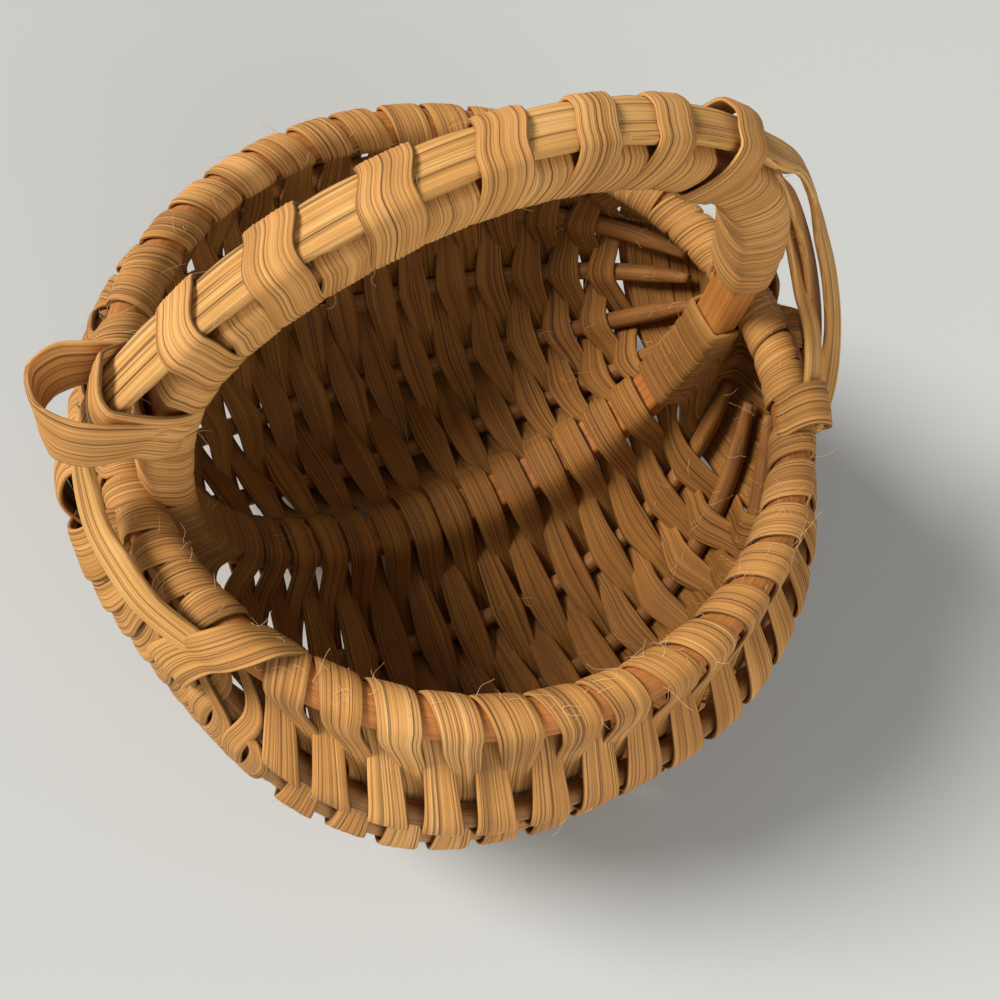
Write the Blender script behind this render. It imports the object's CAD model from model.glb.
"""The looks of a small buttocks basket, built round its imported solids.

Straight stock, a flat splint, a round rod or a flat bar, is made with bmesh and then bent along a
path, as a basket maker bends split oak. The classes work in millimetres, with the rim in the plane
z = 0. X runs through the two ears, where the hoops cross, and -Y is the front.
"""
import logging
import math
from dataclasses import dataclass, field
from enum import Enum
from random import Random
from typing import Any, Callable, Sequence

import bmesh
import bpy
import numpy as np
from mathutils import Matrix, Vector


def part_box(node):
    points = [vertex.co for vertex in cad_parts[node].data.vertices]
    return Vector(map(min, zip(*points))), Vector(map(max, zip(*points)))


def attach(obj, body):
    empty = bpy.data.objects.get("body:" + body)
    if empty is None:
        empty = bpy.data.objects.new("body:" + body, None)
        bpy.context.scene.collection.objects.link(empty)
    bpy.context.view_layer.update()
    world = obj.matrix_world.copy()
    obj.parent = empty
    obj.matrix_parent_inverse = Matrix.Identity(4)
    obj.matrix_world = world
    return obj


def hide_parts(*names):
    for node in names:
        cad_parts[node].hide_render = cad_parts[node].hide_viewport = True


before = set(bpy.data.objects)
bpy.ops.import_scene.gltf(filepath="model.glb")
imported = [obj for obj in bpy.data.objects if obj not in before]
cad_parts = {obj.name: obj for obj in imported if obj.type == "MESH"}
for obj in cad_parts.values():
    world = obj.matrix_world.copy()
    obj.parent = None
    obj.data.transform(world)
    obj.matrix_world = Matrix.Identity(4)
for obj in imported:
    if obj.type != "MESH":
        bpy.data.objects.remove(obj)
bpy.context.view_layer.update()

log = logging.getLogger("basket")
Array = np.ndarray
MM = 0.001
UP = np.array([0.0, 0.0, 1.0])
Y_WAY = np.array([0.0, 1.0, 0.0])
HEART = np.array([0.0, 0.0, -14.0])  # middle of the hollow, from the middle of the rim


def frame_origin() -> Array:
    """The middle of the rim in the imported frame, in millimetres."""
    low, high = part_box("rim_hoop")
    return (np.array(low) + np.array(high)) / (2 * MM)


ORIGIN = frame_origin()


def unit(vector: Array) -> Array:
    """The same way, one long."""
    return vector / np.linalg.norm(vector, axis=-1, keepdims=True)


def smooth_step(low: float, high: float, value: float) -> float:
    """How far a value has risen, gently, from 0 at low to 1 at high."""
    part = min(max((value - low) / (high - low), 0.0), 1.0)
    return part * part * (3 - 2 * part)


# Finishes


def linear(hexadecimal: str) -> tuple[float, float, float, float]:
    """Turns an sRGB hex colour to linear light.

    Args:
        hexadecimal: the colour, as "#rrggbb".

    Returns:
        Red, green, blue and an alpha of 1.
    """
    values = [int(hexadecimal[i:i + 2], 16) / 255 for i in (1, 3, 5)]
    light = [v / 12.92 if v <= 0.04045 else ((v + 0.055) / 1.055) ** 2.4 for v in values]
    return light[0], light[1], light[2], 1.0


def add_node(tree: bpy.types.NodeTree, kind: str, inputs: dict[Any, Any] | None = None,
             **settings: Any) -> bpy.types.Node:
    """Adds a shader node with its settings, values and links.

    Args:
        tree: the tree that gets the node.
        kind: the node's type, without "ShaderNode".
        inputs: input name or number to a plain value, or to an output socket to link.
        settings: properties of the node itself.

    Returns:
        The new node.
    """
    node = tree.nodes.new("ShaderNode" + kind)
    for name, value in settings.items():
        setattr(node, name, value)
    for key, value in (inputs or {}).items():
        if isinstance(value, bpy.types.NodeSocket):
            tree.links.new(value, node.inputs[key])
        else:
            node.inputs[key].default_value = value
    return node


def add_ramp(tree: bpy.types.NodeTree, factor: bpy.types.NodeSocket,
             stops: Sequence[tuple[float, str]]) -> bpy.types.NodeSocket:
    """Adds a colour ramp with its stops.

    Args:
        tree: the tree that gets the node.
        factor: what drives the ramp.
        stops: place and hex colour of each stop.

    Returns:
        The colour socket.
    """
    ramp = add_node(tree, "ValToRGB", {"Fac": factor})
    elements = ramp.color_ramp.elements
    while len(elements) < len(stops):
        elements.new(0.5)
    for element, (place, colour) in zip(elements, stops):
        element.position = place
        element.color = linear(colour)
    return ramp.outputs["Color"]


@dataclass(frozen=True)
class OakFinish:
    """Split white oak, riven along its fibres, dried and never varnished.

    Each piece carries its flat, unbent place in millimetres as the attribute "grain", the height
    of its ridges as "ridge", a tone of its own as "tone", and how far a face looks into the
    basket, where dust has settled, as "inner". So the grain follows every bend.
    """

    name: str
    dark: str = "#5f380f"
    middle: str = "#b98140"
    pale: str = "#ecb975"
    streak_mm: float = 0.45  # width of a bundle of fibres
    patch_mm: float = 14.0  # size of a patch of dirt or age
    line_mm: float = 0.3  # between the dark lines where fibres have parted
    line: float = 0.42  # how bright such a line is
    valley: float = 0.36  # how bright a groove is beside a ridge
    dusk: str = "#c3b488"  # tint of the basket's inner side
    roughness: float = 0.78
    relief_mm: float = 0.1

    def material(self) -> bpy.types.Material:
        """Builds the node material.

        Returns:
            The material, with a Principled shader.
        """
        made = bpy.data.materials.new(self.name)
        made.use_nodes = True
        tree = made.node_tree
        shader = tree.nodes["Principled BSDF"]
        grain = add_node(tree, "Attribute", attribute_name="grain").outputs["Vector"]
        ridge, tone, inner = (add_node(tree, "Attribute", attribute_name=name).outputs["Fac"]
                              for name in ("ridge", "tone", "inner"))
        across = 1 / self.streak_mm
        streaks = self._noise(tree, grain, (0.014, across, across), 2.0)
        fibres = self._noise(tree, grain, (0.06, 3.2 * across, 3.2 * across), 2.0)
        parted = self._noise(tree, grain, (0.012, 1 / self.line_mm, 1 / self.line_mm), 1.0)
        place = add_node(tree, "TexCoord").outputs["Object"]
        patch = self._noise(tree, place, (1 / (MM * self.patch_mm),) * 3, 2.0)
        mixed = self._sum(tree, ((streaks, 0.62), (fibres, 0.30), (patch, 0.36), (tone, 0.55)), -0.42)
        colour = add_ramp(tree, mixed, ((0.14, self.dark), (0.5, self.middle), (0.86, self.pale)))
        valley = add_node(tree, "MapRange", {"Value": ridge, "From Max": 0.45,
                                             "To Min": self.valley, "To Max": 1.0})
        dusk = add_ramp(tree, inner, ((0.0, "#ffffff"), (1.0, self.dusk)))
        line = add_node(tree, "MapRange", {"Value": parted, "From Min": 0.57, "From Max": 0.66,
                                           "To Min": 1.0, "To Max": self.line})
        shade = add_node(tree, "Math", {0: valley.outputs["Result"], 1: line.outputs["Result"]},
                         operation="MULTIPLY")
        tinted = add_node(tree, "Mix", {0: 1.0, 6: colour, 7: dusk},
                          data_type="RGBA", blend_type="MULTIPLY")
        shaded = add_node(tree, "Mix", {0: 1.0, 6: tinted.outputs[2], 7: shade.outputs["Value"]},
                          data_type="RGBA", blend_type="MULTIPLY")
        bump = add_node(tree, "Bump", {"Height": fibres, "Strength": 0.75,
                                       "Distance": self.relief_mm * MM})
        shader.inputs["Roughness"].default_value = self.roughness
        shader.inputs["Specular IOR Level"].default_value = 0.35
        tree.links.new(shaded.outputs[2], shader.inputs["Base Color"])
        tree.links.new(bump.outputs["Normal"], shader.inputs["Normal"])
        return made

    @staticmethod
    def _noise(tree: bpy.types.NodeTree, source: bpy.types.NodeSocket,
               scale: tuple[float, float, float], detail: float) -> bpy.types.NodeSocket:
        """Adds a noise that is stretched along the axes.

        Args:
            tree: the tree that gets the nodes.
            source: the place that it reads.
            scale: the scale for each axis.
            detail: how many finer layers it has.

        Returns:
            The noise, from 0 to 1.
        """
        mapping = add_node(tree, "Mapping", {"Vector": source, "Scale": scale})
        noise = add_node(tree, "TexNoise", {"Vector": mapping.outputs["Vector"], "Scale": 1.0,
                                            "Detail": detail, "Roughness": 0.6})
        return noise.outputs["Fac"]

    @staticmethod
    def _sum(tree: bpy.types.NodeTree, terms: Sequence[tuple[bpy.types.NodeSocket, float]],
             start: float) -> bpy.types.NodeSocket:
        """Adds weighted sockets to a number.

        Args:
            tree: the tree that gets the nodes.
            terms: the sockets, each with its weight.
            start: the number.

        Returns:
            The sum.
        """
        total: Any = start
        for socket, weight in terms:
            step = add_node(tree, "Math", {0: socket, 1: weight, 2: total},
                            operation="MULTIPLY_ADD")
            total = step.outputs["Value"]
        return total


class Finish(Enum):
    """The finishes of the basket."""

    # Flat splints: thin, ridged where the wood was pulled apart, and straw coloured.
    SPLINT = OakFinish("riven_oak_splint")
    # Splints of the ear lashings: the same, a little darker from handling.
    LASHING = OakFinish("riven_oak_lashing", dark="#58330d", middle="#b07a3a", pale="#e2ae69")
    # Rim rod, handle hoop and spine: shaved with a knife, smooth and orange brown.
    HOOP = OakFinish("shaved_oak_hoop", dark="#6e3f16", middle="#a8672a", pale="#c98742",
                     streak_mm=0.8, line=0.75, valley=1.0, dusk="#e0cfae", roughness=0.7, relief_mm=0.04)
    # Ribs: whittled round, dry and brown.
    RIB = OakFinish("whittled_oak_rib", dark="#5f3b1a", middle="#9a6a36", pale="#c09058",
                    streak_mm=0.7, line=0.7, valley=1.0, dusk="#e0cfae", roughness=0.7)
    # Overlay on the handle: a thick pale split, weathered until its grain stands open.
    OVERLAY = OakFinish("weathered_oak_overlay", dark="#6c4219", middle="#b5803e", pale="#e2b573",
                        streak_mm=0.6, roughness=0.82)
    # Loose fibres: single strands of the same oak, pale and dull.
    FIBRE = OakFinish("loose_oak_fibre", dark="#b58a52", middle="#d2aa70", pale="#e6c795",
                      roughness=0.85)


class Materials:
    """Makes each finish once."""

    def __init__(self) -> None:
        """Starts with none made."""
        self._made: dict[Finish, bpy.types.Material] = {}

    def get(self, finish: Finish) -> bpy.types.Material:
        """The material of a finish.

        Args:
            finish: the finish.

        Returns:
            Its material, the same one each time.
        """
        if finish not in self._made:
            self._made[finish] = finish.value.material()
        return self._made[finish]


MATERIALS = Materials()


# Paths and stock


@dataclass
class Knot:
    """A place that a piece passes: its middle, the way across it and its width there."""

    at: Array
    across: Array
    width: float
    thickness: float = 1.0  # against the stock's own


class Path:
    """An even, smooth run through knots."""

    def __init__(self, knots: Sequence[Knot], spacing: float = 0.9, closed: bool = False) -> None:
        """Runs a smooth line through the knots.

        Args:
            knots: the places that it passes.
            spacing: millimetres from one ring of the stock to the next.
            closed: whether its last knot is its first one.
        """
        at = np.array([knot.at for knot in knots])
        chords = np.linalg.norm(np.diff(at, axis=0), axis=1)
        stops = np.concatenate([[0.0], np.cumsum(chords)])
        count = max(round(stops[-1] / spacing), 4)
        places = np.linspace(0, stops[-1], count + 1)
        self.points = self._spline(at, stops, places, closed)
        across = np.array([knot.across for knot in knots])
        self.across = unit(np.stack([np.interp(places, stops, across[:, i]) for i in range(3)], 1))
        self.width = np.interp(places, stops, [knot.width for knot in knots])
        self.thickness = np.interp(places, stops, [knot.thickness for knot in knots])
        along = np.gradient(self.points, axis=0)
        if closed:
            along[0] = along[-1] = self.points[1] - self.points[-2]
        self.up = unit(np.cross(along, self.across))
        steps = np.linalg.norm(np.diff(self.points, axis=0), axis=1)
        self.length = float(steps.sum())
        self.count = count
        self.closed = closed

    @staticmethod
    def _spline(at: Array, stops: Array, places: Array, closed: bool) -> Array:
        """A cubic curve through points.

        Args:
            at: the points.
            stops: how far along the curve each of them lies.
            places: how far along it is read.
            closed: whether its ends join smoothly.

        Returns:
            A point of the curve for each place.
        """
        slopes = np.diff(at, axis=0) / np.diff(stops)[:, None]
        before, after = slopes[:-1], slopes[1:]
        gaps = np.diff(stops)
        weight = (gaps[1:] / (gaps[1:] + gaps[:-1]))[:, None]
        inner = before * weight + after * (1 - weight)
        seam = (slopes[0] + slopes[-1]) / 2
        first, last = (seam, seam) if closed else (slopes[0], slopes[-1])
        tangents = np.vstack([first, inner, last])
        index = np.clip(np.searchsorted(stops, places, side="right") - 1, 0, len(stops) - 2)
        gap = gaps[index][:, None]
        part = ((places - stops[index]) / gaps[index])[:, None]
        square, cube = part ** 2, part ** 3
        return (at[index] * (2 * cube - 3 * square + 1)
                + tangents[index] * gap * (cube - 2 * square + part)
                + at[index + 1] * (3 * square - 2 * cube)
                + tangents[index + 1] * gap * (cube - square))

    def bend(self, flat: Array) -> tuple[Array, Array]:
        """Bends straight stock along the path.

        Args:
            flat: points as (part of the length, across in widths, height in millimetres).

        Returns:
            The bent points, and the way up from the stock's middle at each.
        """
        place = np.clip(flat[:, 0], 0, 1) * self.count
        low = np.minimum(place.astype(int), self.count - 1)
        part = (place - low)[:, None]

        def read(values: Array) -> Array:
            """The values at the flat points' places."""
            return values[low] * (1 - part) + values[low + 1] * part

        width = read(self.width[:, None])
        thickness = read(self.thickness[:, None])
        sideways = unit(read(self.across)) * flat[:, 1:2] * width
        up = unit(read(self.up))
        return read(self.points) + sideways + up * flat[:, 2:3] * thickness, up


@dataclass
class Stock:
    """Straight wood of one kind, ready to be bent."""

    thickness: float
    ridges: int = 0  # along each face
    ridge_height: float = 0.0
    seed: int = 1
    rough_edge: float = 0.03  # how much the width wanders, as a part of it
    random: Random = field(init=False)

    def __post_init__(self) -> None:
        """Starts this stock's own row of random numbers."""
        self.random = Random(self.seed)

    def blank(self, count: int) -> bmesh.types.BMesh:
        """A closed flat bar, one long and one wide, with lines along it where its ridges go.

        Args:
            count: how many parts it has from end to end.

        Returns:
            The bar, along X.
        """
        made = bmesh.new()
        bmesh.ops.create_cube(made, size=1.0)
        self._cut(made, 0, count)
        if self.ridges:
            self._cut(made, 1, 2 * self.ridges)
        return made

    @staticmethod
    def _cut(made: bmesh.types.BMesh, axis: int, count: int) -> None:
        """Cuts every edge that runs along an axis.

        Args:
            made: the bar or rod.
            axis: the axis's number.
            count: how many parts each edge gets.
        """
        edges = [edge for edge in made.edges
                 if abs(edge.verts[0].co[axis] - edge.verts[1].co[axis]) > 0.5]
        bmesh.ops.subdivide_edges(made, edges=edges, cuts=count - 1, use_grid_fill=True)

    def flat(self, rows: Array, length: float) -> tuple[Array, Array]:
        """Shapes the blank: ridges, thin edges and a width that wanders.

        Args:
            rows: the blank's vertices.
            length: the finished length in millimetres.

        Returns:
            Points for Path.bend and the height of the ridge at each, from 0 to 1.
        """
        part = rows[:, 0] + 0.5
        across = rows[:, 1].copy()
        side = np.sign(rows[:, 2])
        ridge = np.ones(len(rows))
        height = side * self.thickness / 2
        if self.ridges:
            line = np.rint((across + 0.5) * 2 * self.ridges).astype(int)
            is_ridge = line % 2 == 1
            strength = np.array([self.random.uniform(0.35, 1.25) for _ in range(2 * self.ridges + 1)])
            phase = np.array([self.random.uniform(0, 6.3) for _ in range(2 * self.ridges + 1)])
            swell = 0.75 + 0.25 * np.sin(part * length / 9 + phase[line])
            height += side * self.ridge_height * np.where(is_ridge, strength[line] * swell, 0.0)
            ridge = np.where(is_ridge, 1.0, strength[line] ** 2 - 0.35)
            height *= 1 - 0.5 * np.abs(across * 2) ** 6
            wander = self.random.uniform(0, 6.3)
            across += 0.2 / (2 * self.ridges) * np.sin(part * length / 11 + wander)
        first, second = self.random.uniform(0, 6.3), self.random.uniform(0, 6.3)
        wave = np.sin(part * length / 5.3 + first) + np.sin(part * length / 2.1 + second)
        across *= 1 + self.rough_edge * wave * np.abs(2 * across) ** 6
        return np.stack([part, across, height], 1), np.clip(ridge, 0, 1)

    def bent(self, name: str, path: Path, finish: Finish, tone: float = 0.5) -> bpy.types.Object:
        """Bends a piece of this stock along a path and dresses it.

        Args:
            name: the object's name.
            path: where it runs.
            finish: its finish.
            tone: how pale this piece is, from 0 to 1.

        Returns:
            The finished object.
        """
        blank = self.blank(path.count)
        if path.closed:
            ends = [face for face in blank.faces if abs(face.normal.x) > 0.9]
            bmesh.ops.delete(blank, geom=ends, context="FACES_ONLY")
        mesh = bpy.data.meshes.new(name)
        blank.to_mesh(mesh)
        rows = np.empty(3 * len(mesh.vertices))
        mesh.vertices.foreach_get("co", rows)
        flat, ridge = self.flat(rows.reshape(-1, 3), path.length)
        bent, up = path.bend(flat)
        faces_out = unit(bent - HEART)
        looks_in = -np.sum(up * np.sign(flat[:, 2:3]) * faces_out, axis=1)
        below = np.clip(-bent[:, 2] / 6, 0, 1)
        shift = self.random.uniform(0, 500)
        width = float(path.width.mean())
        grain = np.stack([flat[:, 0] * path.length + shift, flat[:, 1] * width + shift / 7,
                          flat[:, 2]], 1)
        store(mesh, "grain", grain)
        store(mesh, "ridge", ridge)
        store(mesh, "tone", np.full(len(ridge), tone))
        store(mesh, "inner", np.clip(looks_in * 2, 0, 1) * below)
        place = (bent + ORIGIN) * MM
        mesh.vertices.foreach_set("co", place.astype(np.float32).ravel())
        if path.closed:
            weld(mesh)
        blank.free()
        return finished(name, mesh, finish)


@dataclass
class RoundStock(Stock):
    """A round rod; a path's width is its diameter."""

    sides: int = 12
    point: float = 0.0  # length of the whittled point at each end, as a part of the whole

    def blank(self, count: int) -> bmesh.types.BMesh:
        """A closed straight rod, one long and one thick.

        Args:
            count: how many parts it has from end to end.

        Returns:
            The rod, along X.
        """
        made = bmesh.new()
        turn = Matrix.Rotation(math.pi / 2, 4, "Y")
        bmesh.ops.create_cone(made, cap_ends=True, segments=self.sides, radius1=0.5, radius2=0.5,
                              depth=1.0, matrix=turn)
        self._cut(made, 0, count)
        return made

    def flat(self, rows: Array, length: float) -> tuple[Array, Array]:
        """Gives the rod its knife facets and its pointed ends.

        Args:
            rows: the rod's vertices.
            length: the finished length in millimetres.

        Returns:
            Points for Path.bend, and 1 for each, because a rod has no grooves.
        """
        part = rows[:, 0] + 0.5
        turn = np.arctan2(rows[:, 2], rows[:, 1])
        radius = np.hypot(rows[:, 1], rows[:, 2])
        phase = self.random.uniform(0, 6.3)
        facet = 1 + self.rough_edge * (np.sin(3 * turn + phase) + np.sin(part * length / 8 + phase))
        if self.point:
            from_end = np.minimum(part, 1 - part) / self.point
            facet *= 0.55 + 0.45 * np.clip(from_end, 0, 1)
        across = np.cos(turn) * radius * facet
        height = np.sin(turn) * radius * facet * self.thickness
        return np.stack([part, across, height], 1), np.ones(len(rows))


@dataclass
class BarStock(Stock):
    """A flat bar with rounded edges."""

    width: float = 7.0
    rounding: float = 1.1

    def blank(self, count: int) -> bmesh.types.BMesh:
        """A closed flat bar with its long edges rounded.

        Args:
            count: how many parts it has from end to end.

        Returns:
            The bar, along X, one long and one wide.
        """
        made = bmesh.new()
        bmesh.ops.create_cube(made, size=1.0)
        scale = Vector((1.0, self.width, self.thickness))
        bmesh.ops.scale(made, vec=scale, verts=made.verts)
        long = [edge for edge in made.edges
                if abs(edge.verts[0].co.x - edge.verts[1].co.x) > 0.5]
        bmesh.ops.bevel(made, geom=long, offset=self.rounding, segments=4, profile=0.5,
                        material=-1, affect="EDGES")
        bmesh.ops.scale(made, vec=Vector((1.0, 1 / self.width, 1.0)), verts=made.verts)
        self._cut(made, 0, count)
        return made

    def flat(self, rows: Array, length: float) -> tuple[Array, Array]:
        """Makes the bar's faces slightly uneven.

        Args:
            rows: the bar's vertices.
            length: the finished length in millimetres.

        Returns:
            Points for Path.bend, and 1 for each, because a bar has no grooves.
        """
        part = rows[:, 0] + 0.5
        phase = self.random.uniform(0, 6.3)
        wave = np.sin(part * length / 6 + phase) * np.sin(part * length / 17 + phase)
        height = rows[:, 2] * (1 + self.rough_edge * wave)
        return np.stack([part, rows[:, 1], height], 1), np.ones(len(rows))


def store(mesh: bpy.types.Mesh, name: str, values: Array) -> None:
    """Keeps a number or a vector for each vertex.

    Args:
        mesh: the mesh that gets the attribute.
        name: the attribute's name.
        values: one number or one vector for each vertex.
    """
    is_vector = values.ndim == 2
    kind = "FLOAT_VECTOR" if is_vector else "FLOAT"
    layer = mesh.attributes.new(name, kind, "POINT")
    layer.data.foreach_set("vector" if is_vector else "value", values.astype(np.float32).ravel())


def weld(mesh: bpy.types.Mesh) -> None:
    """Joins the two open ends of a hoop.

    Args:
        mesh: the hoop's mesh.
    """
    made = bmesh.new()
    made.from_mesh(mesh)
    bmesh.ops.remove_doubles(made, verts=made.verts, dist=0.4 * MM)
    bmesh.ops.recalc_face_normals(made, faces=made.faces)
    made.to_mesh(mesh)
    made.free()


def finished(name: str, mesh: bpy.types.Mesh, finish: Finish) -> bpy.types.Object:
    """Makes the object of a mesh, smooth and with its material.

    Args:
        name: the object's name.
        mesh: its mesh.
        finish: its finish.

    Returns:
        The object, in the scene.
    """
    mesh.polygons.foreach_set("use_smooth", [True] * len(mesh.polygons))
    mesh.materials.append(MATERIALS.get(finish))
    made = bpy.data.objects.new(name, mesh)
    bpy.context.scene.collection.objects.link(made)
    log.info("%s: %d vertices", name, len(mesh.vertices))
    return made


def mount(piece: bpy.types.Object, slot: str, *nodes: str) -> None:
    """Ties a piece to the frame.

    Args:
        piece: the piece.
        slot: the material slot of the record that it takes.
        nodes: the solids that it stands for.
    """
    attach(piece, "root")
    if nodes:
        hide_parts(*nodes)


# The skeleton


@dataclass
class Crossing:
    """Where rows a step apart cross a member."""

    centre: Array
    across: Array
    along: Array
    out: Array
    pitch: float


@dataclass(frozen=True)
class Skeleton:
    """The centre-lines of the hoops and ribs.

    A place on a member is an angle t in degrees: 0 at the right ear, 180 at the left one. Members
    are numbered from the front rim, 0, under the basket to the back rim.
    """

    rim_radius: float = 51.0  # of its middle line, as every size here
    rim_rod: float = 5.5
    arch_height: float = 50.0  # of the handle, above the rim
    arch_flare: float = 4.0  # how far the handle swells sideways above the ears
    spine_depth: float = 50.0
    half_span: float = 45.7  # of the upright hoop
    hoop_width: float = 7.0
    hoop_thickness: float = 4.5
    ribs_per_lobe: int = 5
    rib_rod: float = 3.4
    rib_tip_angle: float = 12.5  # where a rib's point starts
    first_rib_lean: float = 18.0
    lobe_swell: float = 20.0  # how much deeper a lobe is than the spine
    ear_swell: float = 3.0  # how far the ribs bulge past the rim at the ears
    rib_fullness: float = 2.4  # exponent of a rib's curve, where 2 is an ellipse

    @property
    def spine(self) -> int:
        """The spine's number."""
        return self.ribs_per_lobe + 1

    @property
    def back_rim(self) -> int:
        """The back rim's number."""
        return 2 * self.spine

    def lean(self, member: int) -> float:
        """How far a member leans about the line through the ears.

        Args:
            member: the member's number.

        Returns:
            The lean in degrees: 0 for the front rim, 90 for the spine, 180 for the back rim.
        """
        if member > self.spine:
            return 180 - self.lean(self.back_rim - member)
        if member in (0, self.spine):
            return 0.0 if member == 0 else 90.0
        step = (90 - 2 * self.first_rib_lean) / (self.ribs_per_lobe - 1)
        return self.first_rib_lean + (member - 1) * step

    def point(self, member: int, t: float) -> Array:
        """A point on a member's middle line.

        Args:
            member: the member's number.
            t: the angle along it.

        Returns:
            The point, from the middle of the rim.
        """
        cosine, sine = math.cos(math.radians(t)), math.sin(math.radians(t))
        if member == self.spine:
            return np.array([self.half_span * cosine, 0.0, -self.spine_depth * sine])
        if member in (0, self.back_rim):
            side = -1 if member == 0 else 1
            return np.array([self.rim_radius * cosine, side * self.rim_radius * sine, 0.0])
        lean = math.radians(self.lean(member))
        between = abs(math.sin(2 * lean))
        depth = self.spine_depth + self.lobe_swell * between
        fall = (1 - abs(cosine) ** self.rib_fullness) ** (1 / self.rib_fullness)
        return np.array([(self.rim_radius + self.ear_swell * between ** 2) * cosine,
                         -depth * fall * math.cos(lean), -depth * fall * math.sin(lean)])

    def crossing(self, member: int, t: float, step: float) -> Crossing:
        """The place where rows cross a member.

        Args:
            member: the member's number.
            t: the angle along it.
            step: the angle from one row to the next.

        Returns:
            The place, its directions and the rows' pitch there.
        """
        before = self.point(max(member - 1, 0), t)
        after = self.point(min(member + 1, self.back_rim), t)
        spread = self.point(member, t + step / 2) - self.point(member, t - step / 2)
        across = unit(spread)
        way = after - before
        along = unit(way - across * way.dot(across))
        out = unit(np.cross(across, along))
        centre = self.point(member, t)
        if out.dot(centre) < 0:
            out = -out
        return Crossing(centre, across, along, out, float(np.linalg.norm(spread)))

    def between(self, member: int, t: float, step: float) -> tuple[Array, Array, float]:
        """The place half way to the next member.

        Args:
            member: the member's number.
            t: the angle along it.
            step: the angle from one row to the next.

        Returns:
            The place, the way across a row and the rows' pitch there.
        """
        def middle(angle: float) -> Array:
            """Half way at an angle."""
            return (self.point(member, angle) + self.point(member + 1, angle)) / 2
        spread = middle(t + step / 2) - middle(t - step / 2)
        return middle(t), unit(spread), float(np.linalg.norm(spread))

    def rim_section(self, side: int, t: float) -> tuple[Array, Array, Array]:
        """The rim seen end on.

        Args:
            side: -1 for the front rim and 1 for the back one.
            t: the angle along it.

        Returns:
            Its middle, the way into the basket and the way along it.
        """
        cosine, sine = math.cos(math.radians(t)), math.sin(math.radians(t))
        centre = self.rim_radius * np.array([cosine, side * sine, 0.0])
        return centre, np.array([-cosine, -side * sine, 0.0]), np.array([-sine, side * cosine, 0.0])

    def beside_rim(self, side: int, t: float, turn: float, radius: float) -> Array:
        """A point beside the rim.

        Args:
            side: -1 for the front rim and 1 for the back one.
            t: the angle along it.
            turn: the angle round it: 0 inside, 90 on top and 180 outside.
            radius: how far it is from the rim's middle.

        Returns:
            The point.
        """
        centre, inward, _ = self.rim_section(side, t)
        angle = math.radians(turn)
        return centre + inward * radius * math.cos(angle) + UP * radius * math.sin(angle)

    def tangent_turn(self, side: int, t: float, start: Array, radius: float, outer: bool) -> float:
        """Where a straight splint from a point below first touches the rim.

        Args:
            side: -1 for the front rim and 1 for the back one.
            t: the angle along it.
            start: where the splint comes from.
            radius: from the rim's middle to the splint's.
            outer: whether it passes the rim outside.

        Returns:
            The turn round the rim in degrees.
        """
        centre, inward, _ = self.rim_section(side, t)
        away = start - centre
        inwards = away.dot(inward)
        bearing = math.atan2(away[2], inwards)
        swing = math.acos(min(radius / math.hypot(inwards, away[2]), 1.0))
        turn = bearing - swing + 2 * math.pi if outer else bearing + swing
        return math.degrees(turn)

    def rim_wrap(self, side: int, start: tuple[float, float], end: tuple[float, float],
                 radius: Callable[[float], float], widths: tuple[float, float]) -> list[Knot]:
        """Knots round the rim between two pairs of angle and turn.

        Args:
            side: -1 for the front rim and 1 for the back one.
            start: angle along the rim and turn round it where the wrap starts.
            end: the same where it ends.
            radius: from the rim's middle to the splint's, by the turn.
            widths: at the ends, and on top.

        Returns:
            The knots of the wrap.
        """
        count = max(round(abs(end[1] - start[1]) / 24), 3)
        knots = []
        for i in range(count + 1):
            part = i / count
            t = start[0] + (end[0] - start[0]) * smooth_step(0, 1, part)
            turn = start[1] + (end[1] - start[1]) * part
            width = widths[0] + (widths[1] - widths[0]) * math.sin(math.pi * part) ** 0.6
            across = self.rim_section(side, t)[2]
            knots.append(Knot(self.beside_rim(side, t, turn, radius(turn)), across, width))
        return knots

    def hoop(self, t: float) -> Array:
        """A point of the upright hoop.

        Args:
            t: the angle round it, with the handle from 0 to 180 and the spine from -180 to 0.

        Returns:
            The point on its middle line.
        """
        sine = math.sin(math.radians(t))
        flare = self.arch_flare * math.sin(math.radians(2 * t)) ** 2 if sine > 0 else 0.0
        height = self.arch_height if sine > 0 else self.spine_depth
        return np.array([(self.half_span + flare) * math.cos(math.radians(t)), 0.0, height * sine])

    def hoop_out(self, t: float) -> Array:
        """The way out from the hoop in its own plane."""
        tangent = unit(self.hoop(t + 0.5) - self.hoop(t - 0.5))
        return np.array([tangent[2], 0.0, -tangent[0]])

    def off_hoop(self, t: float, height: float, y: float = 0.0) -> Array:
        """A point at a height outside the hoop's middle line."""
        return self.hoop(t) + self.hoop_out(t) * height + np.array([0.0, y, 0.0])


BONES = Skeleton()


# Sub-assemblies


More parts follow.
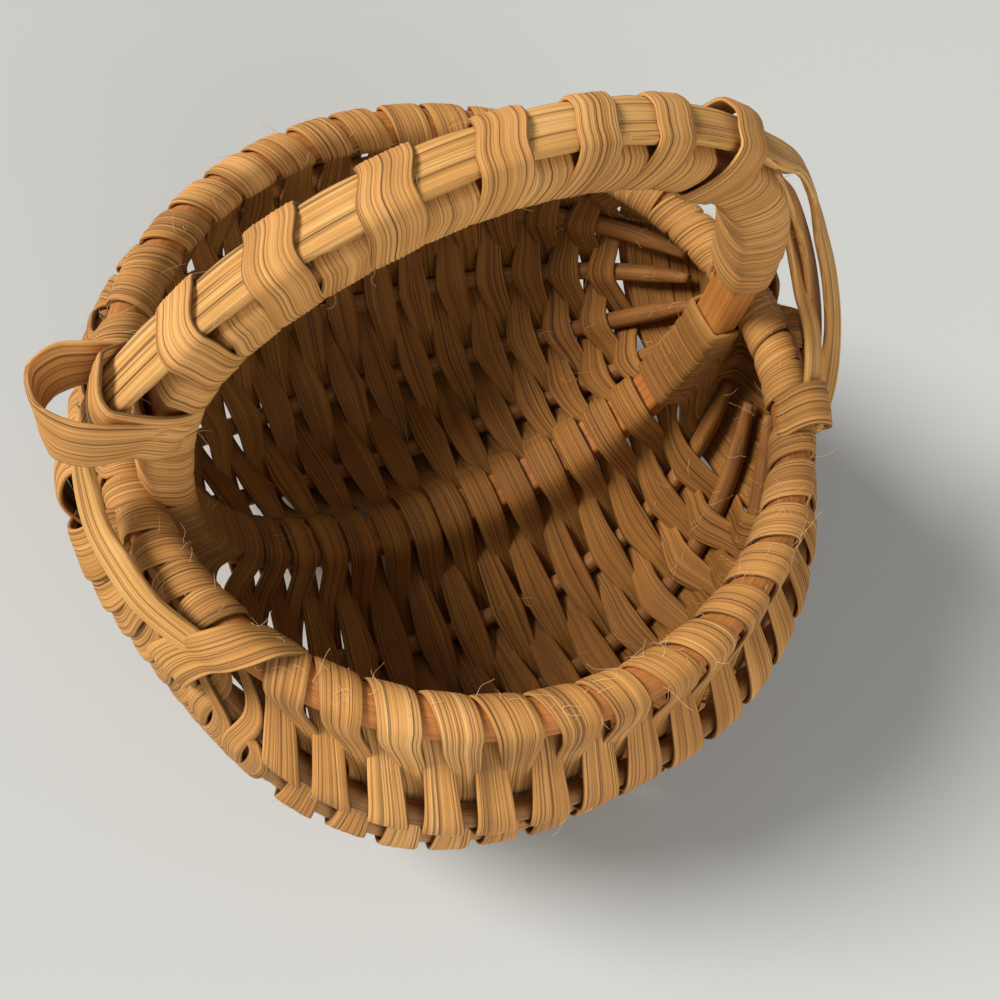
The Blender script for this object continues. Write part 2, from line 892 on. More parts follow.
@dataclass
class Hoops:
    """The round rim hoop and the flat upright hoop."""

    knots: int = 72  # round a hoop
    spacing: float = 2.0  # from ring to ring
    rim_sides: int = 16
    rim_tone: float = 0.45
    upright_tone: float = 0.62

    def build(self) -> None:
        """Bends and dresses both hoops."""
        angles = [360 / self.knots * i for i in range(self.knots + 1)]
        knots = []
        for t in map(math.radians, angles):
            radial = np.array([math.cos(t), math.sin(t), 0.0])
            knots.append(Knot(BONES.rim_radius * radial, radial, BONES.rim_rod))
        rim = RoundStock(BONES.rim_rod, seed=3, rough_edge=0.012, sides=self.rim_sides)
        path = Path(knots, self.spacing, closed=True)
        mount(rim.bent("rim_rod", path, Finish.HOOP, self.rim_tone), "bent_hoop", "rim_hoop")
        knots = [Knot(BONES.hoop(angle - 90), Y_WAY, BONES.hoop_width) for angle in angles]
        bar = BarStock(BONES.hoop_thickness, seed=4, rough_edge=0.03, width=BONES.hoop_width)
        path = Path(knots, self.spacing, closed=True)
        piece = bar.bent("upright_hoop", path, Finish.HOOP, self.upright_tone)
        mount(piece, "bent_hoop", "handle_hoop")


@dataclass
class Ribs:
    """The whittled ribs of both lobes."""

    spans: int = 40  # between knots
    spacing: float = 1.6  # from ring to ring
    point: float = 0.06  # the whittled part at each end
    tones: tuple[float, float] = (0.3, 0.7)

    def build(self) -> None:
        """Bends and dresses every rib."""
        for member in range(1, BONES.back_rim):
            if member < BONES.spine:
                self.rib(member, f"front_{member}")
            elif member > BONES.spine:
                self.rib(member, f"back_{BONES.back_rim - member}")

    def rib(self, member: int, name: str) -> None:
        """Bends and dresses one rib.

        Args:
            member: its number as a member of the skeleton.
            name: its lobe and its number there.
        """
        lean = math.radians(BONES.lean(member))
        across = np.array([0.0, math.sin(lean), -math.cos(lean)])
        length = 180 - 2 * BONES.rib_tip_angle
        angles = [BONES.rib_tip_angle + length * i / self.spans for i in range(self.spans + 1)]
        knots = [Knot(BONES.point(member, t), across, BONES.rib_rod) for t in angles]
        rod = RoundStock(BONES.rib_rod, seed=20 + member, rough_edge=0.02, point=self.point)
        tone = Random(member).uniform(*self.tones)
        piece = rod.bent("whittled_rib_" + name, Path(knots, self.spacing), Finish.RIB, tone)
        mount(piece, "rib_wood", "rib_" + name)


@dataclass
class Weave:
    """The splints that are woven from rim to rim."""

    width: float = 6.6
    wrap_width: float = 6.15
    thickness: float = 0.72
    crest: float = 1.42  # least width over a rib, in pitches, where rows stand far apart
    crest_limit: float = 1.6  # greatest width there, in pitches
    change_limit: float = 1.2  # the same where rows change sides
    woven_left: float = 146.0  # edges of the woven part, as angles
    woven_right: float = 27.0
    weavers: int = 7
    rows_each: int = 4
    seat: float = 0.1  # air under a splint
    slack: float = 0.35  # most that a row stands off a rib
    slide: float = 0.2  # and most that it is off its place along it
    edge_inset: float = 0.3  # where a row bends over the spine, from its edge
    first_tail: float = 0.2  # where a splint starts, as a part of its way down from the rim
    last_tail: float = 0.3  # and where it ends
    random: Random = field(default_factory=lambda: Random(11))

    def __post_init__(self) -> None:
        """Spaces the rows and gives each its slip and width."""
        self.rows = self.weavers * self.rows_each
        self.step = (self.woven_left - self.woven_right) / self.rows
        self.slip = [self.random.uniform(-0.45, 0.45) for _ in range(self.rows + 1)]
        self.wide = [self.random.uniform(0.93, 1.07) for _ in range(self.rows + 1)]
        self.rim_radius = BONES.rim_rod / 2 + self.thickness / 2 + self.seat

    def angle(self, row: int) -> float:
        """Where a row stands."""
        return self.woven_left - (row + 0.5) * self.step + self.slip[row]

    def between(self, member: int, row: int) -> Knot:
        """Where a row changes sides between two members.

        Args:
            member: the first member's number.
            row: the row's number.

        Returns:
            The knot there.
        """
        place, across, pitch = BONES.between(member, self.angle(row), self.step)
        width = min(self.width * self.wide[row], self.change_limit * pitch)
        return Knot(place, across, width)

    def over(self, member: int, row: int) -> list[Knot]:
        """How a row passes a member, outside or inside it by turns.

        Args:
            member: the member's number.
            row: the row's number.

        Returns:
            One knot at a rib, and one at each edge of the spine.
        """
        side = -1 if (member + row) % 2 == 0 else 1
        crossing = BONES.crossing(member, self.angle(row), self.step)
        widest = self.crest_limit * crossing.pitch
        width = min(max(self.width, self.crest * crossing.pitch) * self.wide[row], widest)
        if member == BONES.spine:
            height = side * (BONES.hoop_thickness / 2 + self.thickness / 2 + self.seat)
            edge = BONES.hoop_width / 2 - self.edge_inset
            at = crossing.centre + crossing.out * height
            return [Knot(at + Y_WAY * way * edge, crossing.across, width) for way in (-1, 1)]
        slack = self.random.uniform(0.0, self.slack)
        height = BONES.rib_rod / 2 + self.thickness / 2 + self.seat + slack
        slide = crossing.across * self.random.uniform(-self.slide, self.slide)
        return [Knot(crossing.centre + crossing.out * side * height + slide, crossing.across, width)]

    def row(self, row: int) -> list[Knot]:
        """One row from rim to rim, in the way that it was woven.

        Args:
            row: the row's number.

        Returns:
            Its knots, from the front for an odd row and from the back for an even one.
        """
        knots = [self.between(0, row)]
        for member in range(1, BONES.back_rim):
            knots += self.over(member, row)
            knots.append(self.between(member, row))
        return knots[::-1] if row % 2 == 0 else knots

    def wrap(self, side: int, row: int, following: int) -> list[Knot]:
        """The wrap over the rim from one row to the following one.

        Args:
            side: -1 for the front rim and 1 for the back one.
            row: the number of the row that ends there.
            following: the number of the row that starts there.

        Returns:
            The knots of the wrap.
        """
        edge = 0 if side < 0 else BONES.back_rim - 1
        ends = []
        for number, outer in ((row, side > 0), (following, side < 0)):
            t = self.angle(number)
            below = self.between(edge, number).at
            ends.append((t, BONES.tangent_turn(side, t, below, self.rim_radius, outer)))
        width = self.wrap_width * self.wide[row]
        return BONES.rim_wrap(side, ends[0], ends[1], lambda turn: self.rim_radius,
                              (0.9 * width, width))

    def tail(self, row: int, part: float) -> Knot:
        """A splint's end, on the way down from the back rim's inner side.

        Args:
            row: the row's number.
            part: how far down it is, as a part of the way to the first rib.

        Returns:
            The knot there.
        """
        below = self.between(BONES.back_rim - 1, row)
        turn = BONES.tangent_turn(1, self.angle(row), below.at, self.rim_radius, False)
        touch = BONES.beside_rim(1, self.angle(row), turn, self.rim_radius)
        return Knot(touch + (below.at - touch) * part, below.across, self.width * 0.9)

    def weaver(self, number: int) -> list[Knot]:
        """All the knots of one splint.

        Args:
            number: the splint's number, from 0 at the left.

        Returns:
            Its knots, with a tail under its neighbour's at each end.
        """
        first = number * self.rows_each
        last = first + self.rows_each - 1
        knots: list[Knot] = []
        if number == 0:
            knots += self.wrap(1, first, first)
        else:
            knots.append(self.tail(first, self.first_tail))
        for row in range(first, last + 1):
            knots += self.row(row)
            side = -1 if row % 2 == 0 else 1
            following = min(row + 1, self.rows - 1)
            knots += self.wrap(side, row, following)
            if row == last:
                knots.append(self.tail(following, self.last_tail))
        return knots

    def build(self) -> None:
        """Bends and dresses every weaver."""
        for number in range(self.weavers):
            stock = Stock(self.thickness, ridges=10, ridge_height=0.09, seed=50 + number,
                          rough_edge=0.022)
            path = Path(self.weaver(number), 0.95)
            tone = self.random.uniform(0.35, 0.65)
            piece = stock.bent(f"woven_splint_{number + 1}", path, Finish.SPLINT, tone)
            mount(piece, "splint", f"weaver_{number + 1}")


@dataclass
class HandleWrap:
    """The splint wound round the handle, every second turn of it over the overlay."""

    turns: int = 23
    start: float = 177.6  # angle of the first turn
    pitch: float = 7.28  # degrees of handle a turn
    first_over: int = 3  # from here every second turn passes over the overlay
    last_over: int = 17
    thickness: float = 0.75
    over_width: float = 7.0  # most that a turn over the overlay is wide
    slack_narrowing: float = 1.6  # how much less a loose turn is, for each millimetre of slack
    overlay_top: float = 5.35  # from the hoop's middle to the underside of such a turn
    left_lift: float = 4.0  # how far the overlay has risen at its ends
    right_lift: float = 0.6
    slack: float = 0.8  # of the last turn over the overlay, which stands loose
    crowded: tuple[float, float] = (11.0, 22.5)  # turns that crowd towards it from both sides
    crowding: float = 5.0  # how far it is moved up the handle, in degrees
    swollen: tuple[float, float, float] = (16.0, 21.3, 23.0)  # turns that swell: start, most, end
    foot_swell: float = 2.0  # how far they stand off inside the right foot

    def angle(self, turn: float) -> float:
        """Where a turn stands: they crowd before the loose one and spread after it.

        Args:
            turn: the turn's number, from the left ear.

        Returns:
            Its angle on the handle.
        """
        first, last = self.crowded
        fading = 1 - smooth_step(self.last_over, last, turn)
        crowd = smooth_step(first, self.last_over, turn) * fading
        return self.start - self.pitch * turn + self.crowding * crowd

    def swell(self, turn: float) -> float:
        """How swollen a turn is inside the right foot, from 0 to 1."""
        first, most, last = self.swollen
        return smooth_step(first, most, turn) * (1 - smooth_step(most, last, turn))

    def lift(self, t: float) -> float:
        """How far the overlay has risen from the handle at an angle."""
        at_left, at_right = smooth_step(140, 156, t), 1 - smooth_step(46, 62, t)
        return self.left_lift * at_left + self.right_lift * at_right

    def knot(self, turn: int, corner: int, bend: float) -> Knot:
        """A place at a corner of a turn.

        Args:
            turn: the turn's number, from the left ear.
            corner: 0 inner front, 1 outer front, 2 outer back, 3 inner back.
            bend: how far the splint has turned there, in degrees.

        Returns:
            The knot, with its width.
        """
        place = turn + corner / 4
        t = self.angle(place)
        is_over = self.first_over <= turn <= self.last_over and turn % 2 == 1
        is_outer = corner in (1, 2)
        slack = self.slack if turn == self.last_over else 0.0
        swell = self.swell(place)
        half_hoop = BONES.hoop_thickness / 2
        inset = (1.3 if is_over and is_outer else 0.5) + slack
        top = self.overlay_top + self.lift(t) if is_over else half_hoop
        edge = top + slack if is_outer else -half_hoop - slack - self.foot_swell * swell
        inner = edge - inset if is_outer else edge + inset
        angle = math.radians(90 * corner + bend)
        radius = self.thickness / 2 + 0.15 + inset
        height = inner - radius * math.cos(angle)
        way = -1 if corner < 2 else 1
        y = way * (BONES.hoop_width / 2 + slack - inset) - radius * math.sin(angle)
        half = (self.angle(place - 0.5) - self.angle(place + 0.5)) / 2
        spread = BONES.off_hoop(t + half, height) - BONES.off_hoop(t - half, height)
        pitch = float(np.linalg.norm(BONES.hoop(t + half) - BONES.hoop(t - half)))
        width = pitch * (1.04 + 0.12 * swell)
        if is_over:
            width = min(pitch * 1.08, self.over_width - self.slack_narrowing * slack)
        return Knot(BONES.off_hoop(t, height, y), unit(spread), width)

    def build(self) -> None:
        """Bends and dresses the wrap."""
        knots = [self.knot(turn, corner, bend) for turn in range(self.turns)
                 for corner in range(4) for bend in (0, 45, 90)]
        stock = Stock(self.thickness, ridges=11, ridge_height=0.1, seed=80, rough_edge=0.02)
        piece = stock.bent("handle_winding", Path(knots, 0.8), Finish.SPLINT, 0.55)
        mount(piece, "splint", "handle_wrap")


@dataclass
class EarLashing:
    """The splint that lashes hoops and ribs together at one ear.

    Its passes run from rim to rim, outside every rib and inside the spine. A last loose turn on
    the front rim binds the strands of the overlay.
    """

    name: str
    first: float  # angle of the first pass
    last: float  # and of the last one
    passes: int
    binder: tuple[tuple[float, float], tuple[float, float]]  # its angle and turn, at both ends
    seed: int
    droop: float = 0.0  # how far the loose turn hangs out from the rim
    thickness: float = 0.72
    seat: float = 0.12
    bulge: float = 4.0  # how far the passes stand out from the ribs' lines at the ear
    bulge_angle: float = 12.0  # how far from the ear that fades
    fan: float = 2.6  # how far the last pass is spread on the ribs, in degrees
    overlap: float = 1.08  # how wide a pass is on the ribs, in pitches
    ear_overlap: float = 0.35  # how much wider it is at the ear
    strand_room: float = 2.4  # how far the binding turn stands off the rim over the strands
    binder_widths: tuple[float, float] = (7.0, 7.8)

    def __post_init__(self) -> None:
        """Spaces the passes and seats them."""
        self.step = (self.last - self.first) / (self.passes - 1)
        self.pitch = abs(self.step)
        self.reach = BONES.rib_rod / 2 + self.thickness / 2 + self.seat
        self.rim_radius = BONES.rim_rod / 2 + self.thickness / 2 + self.seat

    def half(self, t: float, leaves_rim: bool) -> list[Knot]:
        """The front half of a pass, from the rim to the inner side of the spine.

        Args:
            t: the angle of the pass.
            leaves_rim: whether the splint comes from the rim here, and not to it.

        Returns:
            The knots, from the rim down.
        """
        knots = []
        progress = (t - self.first) / (self.last - self.first)
        spread = math.copysign(self.fan * progress, self.step)
        rib_t = t + spread
        pitch = self.pitch + self.fan / self.passes
        spine = BONES.crossing(BONES.spine, t + spread / 2, self.pitch)

        def beside_spine(height: float, y: float) -> Knot:
            """A knot at a height off the spine's middle."""
            at = spine.centre + spine.out * height
            return Knot(np.array([at[0], y, at[2]]), spine.across, 1.04 * spine.pitch)

        edge = BONES.hoop_width / 2
        half_hoop = BONES.hoop_thickness / 2
        seat = self.thickness / 2 + self.seat
        corner = beside_spine(half_hoop - 0.6, -edge - seat)
        if leaves_rim:
            knots += self.round_rib(1, rib_t, pitch, BONES.point(0, t), self.rim_radius)[::-1]
        ear = self.at_ear(t)
        for member in range(1, BONES.spine):
            rib = BONES.crossing(member, rib_t, pitch)
            bulge = self.bulge * ear * math.sin(math.pi * member / BONES.spine)
            at = rib.centre + rib.out * (self.reach + bulge)
            knots.append(Knot(at, rib.across, (self.overlap + self.ear_overlap * ear) * rib.pitch))
        knots += self.round_rib(BONES.spine - 1, rib_t, pitch, corner.at, 0.0)
        slant = seat * math.sqrt(0.5)
        knots += [corner, beside_spine(0.6 - half_hoop, -edge - seat),
                  beside_spine(-half_hoop - slant, -edge - slant),
                  beside_spine(-half_hoop - seat, 0.8 - edge)]
        return knots

    def at_ear(self, t: float) -> float:
        """How near an angle is to the ear, from 1 there to 0, where ribs carry the passes."""
        return math.exp(-(min(t, 180 - t) / self.bulge_angle) ** 2)

    def round_rib(self, member: int, t: float, pitch: float, target: Array,
                  beyond: float) -> list[Knot]:
        """How a pass bends round a rib, from its outer side to what lies beside it.

        Args:
            member: the rib's number.
            t: the angle along it.
            pitch: the angle from one pass to the next.
            target: the middle of what it passes next.
            beyond: how far off that middle it passes.

        Returns:
            Two knots on the rib.
        """
        rib = BONES.crossing(member, t, pitch)
        way = target - rib.centre
        outwards, sideways = way.dot(rib.out), way.dot(rib.along)
        swing = math.acos(min((self.reach + beyond) / math.hypot(outwards, sideways), 1.0))
        bend = max(math.atan2(abs(sideways), outwards) - swing, 0.1)
        knots = []
        for angle in (bend / 2, bend):
            shift = math.copysign(self.reach * math.sin(angle), sideways)
            at = rib.centre + rib.out * self.reach * math.cos(angle) + rib.along * shift
            knots.append(Knot(at, rib.across, 1.05 * rib.pitch))
        return knots

    @staticmethod
    def mirrored(knot: Knot) -> Knot:
        """The same place in the back half."""
        flip = np.array([1.0, -1.0, 1.0])
        return Knot(knot.at * flip, knot.across * flip, knot.width)

    def stretch(self, number: int) -> list[Knot]:
        """A whole pass from rim to rim, below the basket's edge.

        Args:
            number: the pass's number, from the ear.

        Returns:
            Its knots, from the front for an even pass and from the back for an odd one.
        """
        t = self.first + self.step * number
        out, home = self.half(t, True), self.half(t, False)[::-1]
        if number % 2 == 0:
            return out + [self.mirrored(knot) for knot in home]
        return [self.mirrored(knot) for knot in out] + home

    def bound_radius(self, turn: float) -> float:
        """From the rim's middle to the binding turn, which lies over the strands."""
        over_strands = self.strand_room * math.exp(-((turn - 138) / 62) ** 4)
        return self.rim_radius + 0.2 + over_strands + self.droop * smooth_step(165, 235, turn)

    def build(self) -> None:
        """Bends and dresses the lashing."""
        def plain(_turn: float) -> float:
            """The radius of a wrap that lies on the rim."""
            return self.rim_radius

        rim_pitch = BONES.rim_radius * math.radians(self.pitch)
        widths = (1.3 * rim_pitch, 2.12 * rim_pitch)
        knots: list[Knot] = []
        t = self.first
        first = BONES.tangent_turn(-1, t, self.stretch(0)[0].at, self.rim_radius, False)
        knots += BONES.rim_wrap(-1, (t - self.step / 2, 190.0), (t, first), plain, widths)
        for number in range(self.passes):
            t = self.first + self.step * number
            stretch = self.stretch(number)
            side = 1 if number % 2 == 0 else -1
            knots += stretch
            if number + 1 < self.passes:
                up = BONES.tangent_turn(side, t, stretch[-1].at, self.rim_radius, True)
                onward = self.stretch(number + 1)[0].at
                down = BONES.tangent_turn(side, t + self.step, onward, self.rim_radius, False)
                knots += BONES.rim_wrap(side, (t, up), (t + self.step, down), plain, widths)
            else:
                knots += BONES.rim_wrap(side, *self.binder, self.bound_radius, self.binder_widths)
        stock = Stock(self.thickness, ridges=10, ridge_height=0.12, seed=self.seed, rough_edge=0.03)
        piece = stock.bent("ear_lashing_splint_" + self.name, Path(knots, 0.9), Finish.LASHING, 0.5)
        mount(piece, "lashing", "ear_lashing_" + self.name)


@dataclass
class Split:
    """A thick weathered split through places that each face a way out from the basket."""

    name: str
    slot: str
    node: str
    seed: int
    finish: Finish
    ridges: int
    ridge_height: float
    thickness: float
    places: list[tuple[Array, Array, float, float]] = field(default_factory=list)

    def on_handle(self, angles: Sequence[float], height: Callable[[float], float], width: float,
                  thickness: float = 1.0) -> None:
        """Adds places on the handle's outer side.

        Args:
            angles: their angles on the handle.
            height: from the hoop's middle to the split's, by the angle.
            width: the split's width there.
            thickness: its thickness there, as a part of the stock's own.
        """
        for t in angles:
            place = BONES.off_hoop(t, height(t))
            self.places.append((place, BONES.hoop_out(t), width, thickness))

    def in_air(self, points: Sequence[tuple[float, float, float]], width: float,
               thickness: float = 1.0, lean: Sequence[float] = (0.0, 0.0, 0.6)) -> None:
        """Adds places in the air, which face out from the middle of the basket.

        Args:
            points: the places.
            width: the split's width there.
            thickness: its thickness there, as a part of the stock's own.
            lean: what is added to the way out before the split faces it.
        """
        for point in points:
            place = np.array(point, float)
            facing = unit(unit(place) + np.array(lean))
            self.places.append((place, facing, width, thickness))

    def on_rim(self, angles: Sequence[float], turn: float, radius: float, width: float,
               thickness: float = 1.0) -> None:
        """Adds places on the front rim, on top of the wraps there.

        Args:
            angles: their angles along the rim.
            turn: their angle round it.
            radius: from the rim's middle to the split's.
            width: the split's width there.
            thickness: its thickness there, as a part of the stock's own.
        """
        for t in angles:
            place = BONES.beside_rim(-1, t, turn, radius)
            facing = unit(place - BONES.rim_section(-1, t)[0])
            self.places.append((place, facing, width, thickness))

    def build(self) -> None:
        """Bends and dresses the split."""
        points = np.array([place[0] for place in self.places])
        along = np.gradient(points, axis=0)
        knots = []
        for (at, facing, width, thickness), way in zip(self.places, along):
            knots.append(Knot(at, unit(np.cross(way, facing)), width, thickness))
        stock = Stock(self.thickness, ridges=self.ridges, ridge_height=self.ridge_height,
                      seed=self.seed, rough_edge=0.05)
        piece = stock.bent(self.name, Path(knots, 0.9), self.finish, 0.62)
        mount(piece, self.slot, self.node)


@dataclass
class Overlay:
    """The thick split on the handle and the strands that run from its ends to the front rim."""

    left: float = 156.0
    right: float = 46.0
    width: float = 6.3
    thickness: float = 1.9
    seat: float = 4.55  # from the hoop's middle to the overlay's, on the turns under it
    strand: float = 4.2  # width of a strand
    rim_seat: float = 4.4  # from the rim's middle to a strand that lies on its wraps
    lean: tuple[float, float, float] = (-0.3, -0.6, 1.2)  # of the strands at the right ear

    def overlay(self, lift: Callable[[float], float]) -> None:
        """The overlay itself, with the strand that goes on from each of its ends.

        Args:
            lift: how far it has risen from the handle, by the angle.
        """
        split = Split("overlay_split", "overlay_wood", "handle_overlay", seed=90,
                      finish=Finish.OVERLAY, ridges=7, ridge_height=0.16,
                      thickness=self.thickness)
        split.on_rim((149, 151.5), 154, self.rim_seat + 0.4, self.strand, 0.75)
        split.in_air(((-51.2, -22.8, 3), (-54, -17.8, 4), (-55.6, -12.4, 5.5), (-56.5, -7.2, 7),
                      (-56.2, -3, 10), (-55.3, -0.2, 14.5)), 1.08 * self.strand, 0.8)
        angles = [self.left - 10 * i for i in range(12)]
        split.on_handle(angles, lambda t: self.seat + lift(t), self.width)
        split.in_air(((42.2, 0, 37), (49.4, 0, 28.5)), 1.05 * self.strand, 0.65,
                     (-0.1, -0.2, 0.7))
        split.in_air(((54.8, -1.4, 19), (59, -5.4, 9.5), (60.5, -10.5, 1.5),
                      (58.2, -15.6, -1.6), (55.1, -19.4, -2)), 1.2 * self.strand, 0.6, self.lean)
        split.on_rim((24, 27), 172, self.rim_seat, 3.6, 0.55)
        split.build()

    def strands(self) -> None:
        """The two strands under it at the right ear."""
        split = Split("overlay_strand_upper", "overlay_wood", "overlay_strand_middle", seed=91,
                      finish=Finish.OVERLAY, ridges=4, ridge_height=0.12, thickness=1.1)
        split.on_handle((43, 40.5, 38), lambda t: 3.7, 3.8)
        split.in_air(((47.2, -0.2, 26.4), (52.4, -1.2, 18.2), (57, -4, 8.3), (58.4, -9, 0),
                      (56, -13.9, -2.8), (52.8, -17.8, -3.2)), 4.9, 1.0, self.lean)
        split.on_rim((23.5, 26.5), 212, self.rim_seat - 0.1, 3.2)
        split.build()
        split = Split("overlay_strand_lower", "overlay_wood", "overlay_strand_inner", seed=92,
                      finish=Finish.OVERLAY, ridges=4, ridge_height=0.12, thickness=1.0)
        split.on_handle((31, 29, 27), lambda t: 3.6, 3.4)
        split.in_air(((49.4, -0.6, 19.6), (52.6, -2.3, 13.2), (54.8, -5.4, 7.6), (54.6, -10.6, 5),
                      (52.2, -15.4, 4.6)), 4.2, 1.0, self.lean)
        split.on_rim((22, 26), 122, self.rim_seat, 3.2)
        split.build()

    def build(self, lift: Callable[[float], float]) -> None:
        """Bends and dresses the overlay and its strands, with the overlay's lift by the angle."""
        self.overlay(lift)
        self.strands()


@dataclass
class TieLoop:
    """The loose loop left of the handle's foot, round the overlay's strand."""

    width: float = 7.0

    def build(self) -> None:
        """Bends and dresses the loop."""
        split = Split("tie_loop_splint", "splint", "handle_tie_loop", seed=95,
                      finish=Finish.SPLINT, ridges=10, ridge_height=0.1, thickness=0.75)
        shape = (((-42.6, 1.5, 22.5), (1, 0.3, 0)), ((-42.9, 3.6, 22.6), (0.7, 0.7, 0)),
                 ((-44.4, 4.8, 23), (0, 1, 0)), ((-48, 4.9, 24.5), (0, 1, 0)),
                 ((-51.5, 5.2, 25.2), (0, 1, -0.1)), ((-55, 5.3, 25.6), (-0.3, 1, -0.3)),
                 ((-57.8, 3.7, 26), (-0.8, 0.6, -0.3)), ((-58.9, 0, 26), (-1, 0, 0)),
                 ((-57.5, -3.6, 25.2), (-0.7, -0.6, 0.35)), ((-54.5, -5.4, 24.6), (-0.2, -0.95, 0.3)),
                 ((-51.5, -5.6, 23.4), (0, -1, 0.15)), ((-48, -4.9, 21), (0, -1, 0)),
                 ((-44.4, -4.7, 18.2), (0, -1, 0)), ((-43.1, -3.6, 17.4), (0.7, -0.7, 0)),
                 ((-42.8, -1, 17), (1, -0.3, 0)))
        for point, facing in shape:
            split.places.append((np.array(point, float), unit(np.array(facing, float)),
                                 self.width, 1.0))
        split.build()


@dataclass
class LooseFibres:
    """Thin fibres that have worked loose from the splints."""

    count: int = 650
    radius: float = 0.028  # drawn thicker than real ones, so that they show
    lengths: tuple[float, float] = (1.2, 5.5)
    on_rim: float = 0.3  # share of them that grows from the rim
    on_handle: float = 0.2  # and from the handle
    rim_reach: float = 3.7  # from the rim's middle to the wraps' surface
    hoop_reach: tuple[float, float] = (-3.1, 3.2)  # and from the hoop's to the winding's
    rib_reach: float = 2.9
    seed: int = 7

    def start(self, random: Random) -> tuple[Array, Array]:
        """Picks where a fibre grows from the basket.

        Args:
            random: the row of random numbers.

        Returns:
            The place, and the way out of the wood.
        """
        kind = random.random()
        if kind < self.on_rim:
            side = random.choice((-1, -1, 1))
            t, turn = random.uniform(0, 180), random.uniform(30, 160)
            at = BONES.beside_rim(side, t, turn, self.rim_reach)
            return at, unit(at - BONES.rim_section(side, t)[0])
        if kind < self.on_rim + self.on_handle:
            t = random.uniform(10, 170)
            out = BONES.hoop_out(t)
            height = random.choice(self.hoop_reach)
            at = BONES.off_hoop(t, height, random.uniform(-3.5, 3.5))
            return at, out * math.copysign(1, height)
        member = random.randint(1, BONES.back_rim - 1)
        t = random.choice((random.uniform(12, 45), random.uniform(20, 160), random.uniform(135, 165)))
        rib = BONES.crossing(member, t, 4.0)
        side = random.choice((-1, -1, 1))
        return rib.centre + rib.out * side * self.rib_reach, rib.out * side

    def grown(self, random: Random) -> list[Array]:
        """Grows one fibre, which curls as it goes.

        Args:
            random: the row of random numbers.

        Returns:
            Five points along it, in metres.
        """
        at, way = self.start(random)
        length = random.uniform(*self.lengths)
        drift = unit(np.array([random.gauss(0, 1) for _ in range(3)]))
        way = unit(way * 0.35 + drift)
        points = []
        for _ in range(5):
            points.append((at + ORIGIN) * MM)
            at = at + way * length / 4
            way = unit(way + 0.5 * np.array([random.gauss(0, 1) for _ in range(3)]))
        return points

    def build(self) -> None:
        """Grows and dresses the fibres, as one mesh."""
        random = Random(self.seed)
        curves = bpy.data.curves.new("loose_fibres", "CURVE")
        curves.dimensions = "3D"
        curves.bevel_depth = self.radius * MM
        curves.bevel_resolution = 0
        curves.resolution_u = 3
        for _ in range(self.count):
            points = self.grown(random)
            spline = curves.splines.new("NURBS")
            spline.points.add(len(points) - 1)
            spline.use_endpoint_u = True
            spline.order_u = 4
            for place, point in enumerate(points):
                spline.points[place].co = (*point, 1.0)
                spline.points[place].radius = 1.0 - 0.12 * place
        shape = bpy.data.objects.new("fibre_shape", curves)
        bpy.context.scene.collection.objects.link(shape)
        depsgraph = bpy.context.evaluated_depsgraph_get()
        mesh = bpy.data.meshes.new_from_object(shape.evaluated_get(depsgraph))
        mesh.name = "loose_fibres"
        bpy.data.objects.remove(shape)
        bpy.data.curves.remove(curves)
        count = len(mesh.vertices)
        store(mesh, "grain", np.zeros((count, 3)))
        store(mesh, "ridge", np.ones(count))
        store(mesh, "tone", np.full(count, 0.8))
        mesh.materials.clear()
        piece = finished("loose_fibres", mesh, Finish.FIBRE)
        mount(piece, "splint")


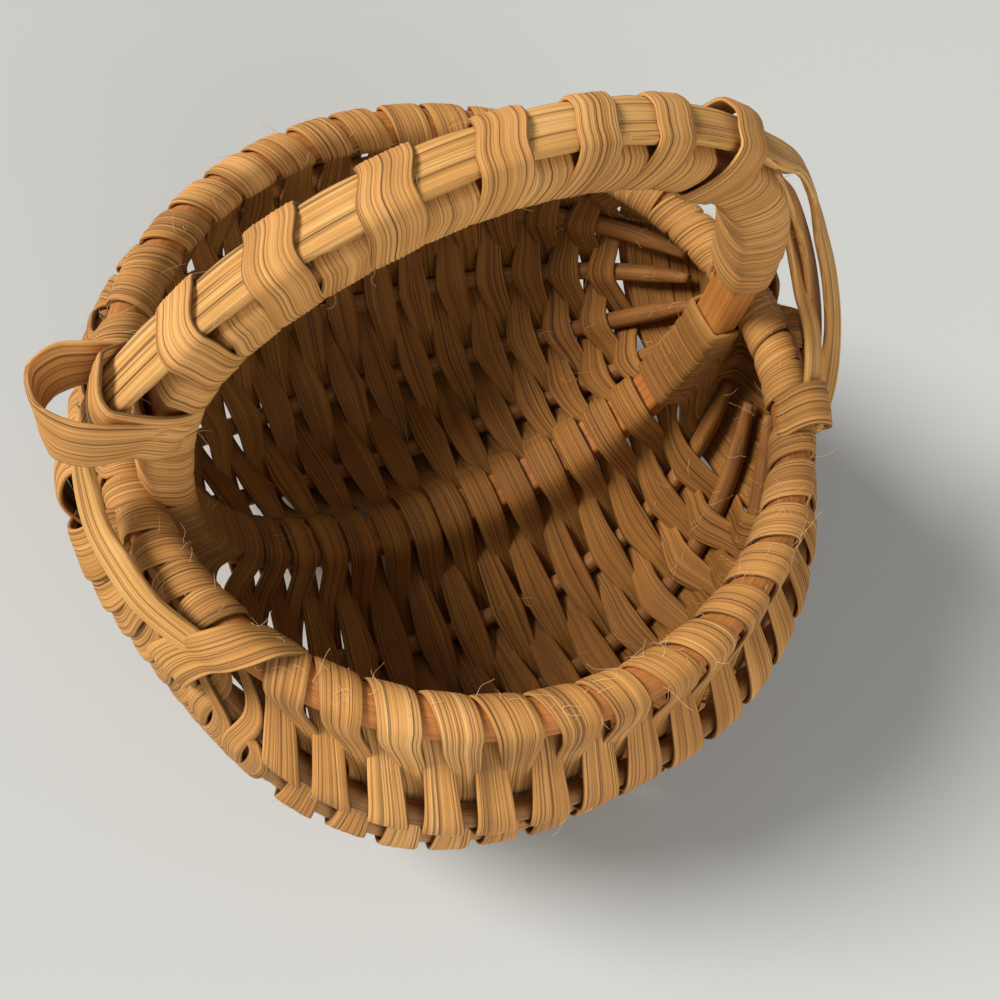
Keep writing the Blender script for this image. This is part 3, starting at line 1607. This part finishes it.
@dataclass(frozen=True)
class Studio:
    """Floor, light and the camera at the photograph's angle."""

    azimuth: float = -40.1
    elevation: float = 61.5
    roll: float = 18.34
    distance: float = 188.95  # in millimetres, from the target
    focal: float = 42.97
    target: tuple[float, float, float] = (1.28, -6.74, -13.06)  # in millimetres
    shift: tuple[float, float] = (0.0216, -0.040)
    floor_size: float = 8.0  # in metres
    floor_colour: str = "#b4b4b0"
    sky: float = 0.3  # how strongly the sky lights the basket
    backdrop: float = 0.62  # how bright it looks behind the floor's edge
    key_strength: float = 4.5
    key_angle: float = 0.42  # in radians: how wide the key lamp looks, for soft shadows
    key_place: tuple[float, float, float] = (-0.48, 0.28, 0.52)  # in metres, as below
    fill_power: float = 2.0
    fill_size: float = 0.5
    fill_place: tuple[float, float, float] = (-0.05, -0.55, 0.3)
    aim: tuple[float, float, float] = (0.0, 0.0, 0.05)  # what both lamps point at

    def camera(self) -> None:
        """Sets the camera."""
        a, e, r = (math.radians(v) for v in (self.azimuth, self.elevation, self.roll))
        back = np.array([math.sin(a) * math.cos(e), -math.cos(a) * math.cos(e), math.sin(e)])
        right = unit(np.cross(UP, back))
        top = np.cross(back, right)
        turned_right = right * math.cos(r) + top * math.sin(r)
        turned_top = top * math.cos(r) - right * math.sin(r)
        data = bpy.data.cameras.new("camera")
        data.lens = self.focal
        data.sensor_width = 36
        data.shift_x, data.shift_y = self.shift
        data.clip_start = 0.005
        made = bpy.data.objects.new("camera", data)
        place = (np.array(self.target) + back * self.distance + ORIGIN) * MM
        matrix = Matrix.Identity(4)
        for column, values in enumerate((turned_right, turned_top, back, place)):
            for row in range(3):
                matrix[row][column] = values[row]
        made.matrix_world = matrix
        bpy.context.scene.collection.objects.link(made)
        bpy.context.scene.camera = made

    def floor(self) -> None:
        """Lays a plain pale floor."""
        made = bmesh.new()
        bmesh.ops.create_grid(made, x_segments=2, y_segments=2, size=self.floor_size)
        mesh = bpy.data.meshes.new("floor")
        made.to_mesh(mesh)
        made.free()
        floor = bpy.data.objects.new("floor", mesh)
        bpy.context.scene.collection.objects.link(floor)
        # Pale grey board, painted, without any gloss.
        paint = bpy.data.materials.new("matt_pale_grey_board")
        paint.use_nodes = True
        shader = paint.node_tree.nodes["Principled BSDF"]
        shader.inputs["Base Color"].default_value = linear(self.floor_colour)
        shader.inputs["Roughness"].default_value = 0.95
        mesh.materials.append(paint)

    def lights(self) -> None:
        """Hangs soft lamps and sets the sky, which looks brighter than it lights."""
        world = bpy.data.worlds.new("sky")
        bpy.context.scene.world = world
        world.use_nodes = True
        tree = world.node_tree
        rays = add_node(tree, "LightPath").outputs
        seen: Any = 0.0
        for kind in ("Is Camera Ray", "Is Glossy Ray", "Is Transmission Ray"):
            either = add_node(tree, "Math", {0: seen, 1: rays[kind]}, operation="MAXIMUM")
            seen = either.outputs["Value"]
        strength = add_node(tree, "MapRange", {"Value": seen, "To Min": self.sky,
                                               "To Max": self.backdrop})
        background = tree.nodes["Background"]
        background.inputs["Color"].default_value = (1.0, 1.0, 1.0, 1.0)
        tree.links.new(strength.outputs["Result"], background.inputs["Strength"])
        key = bpy.data.lights.new("key", "SUN")
        key.energy = self.key_strength
        key.angle = self.key_angle
        fill = bpy.data.lights.new("fill", "AREA")
        fill.energy = self.fill_power
        fill.size = self.fill_size
        for lamp, place in ((key, self.key_place), (fill, self.fill_place)):
            made = bpy.data.objects.new(lamp.name, lamp)
            made.location = place
            ray = Vector(self.aim) - Vector(place)
            made.rotation_euler = ray.to_track_quat("-Z", "Y").to_euler()
            bpy.context.scene.collection.objects.link(made)

    def build(self) -> None:
        """Sets the whole stage."""
        bpy.context.scene.view_settings.view_transform = "Standard"
        self.camera()
        self.floor()
        self.lights()


def main() -> None:
    """Builds the stage and every sub-assembly."""
    logging.basicConfig(level=logging.INFO, format="%(name)s %(message)s")
    Studio().build()
    Hoops().build()
    Ribs().build()
    Weave().build()
    wrap = HandleWrap()
    wrap.build()
    EarLashing("left", first=177.0, last=150.6, passes=10,
               binder=((156.0, 240.0), (143.5, 25.0)), seed=60, droop=7.5).build()
    EarLashing("right", first=3.7, last=23.4, passes=8,
               binder=((22.5, 218.0), (27.0, 30.0)), seed=61).build()
    Overlay().build(wrap.lift)
    TieLoop().build()
    LooseFibres().build()


if __name__ == "__main__":
    main()
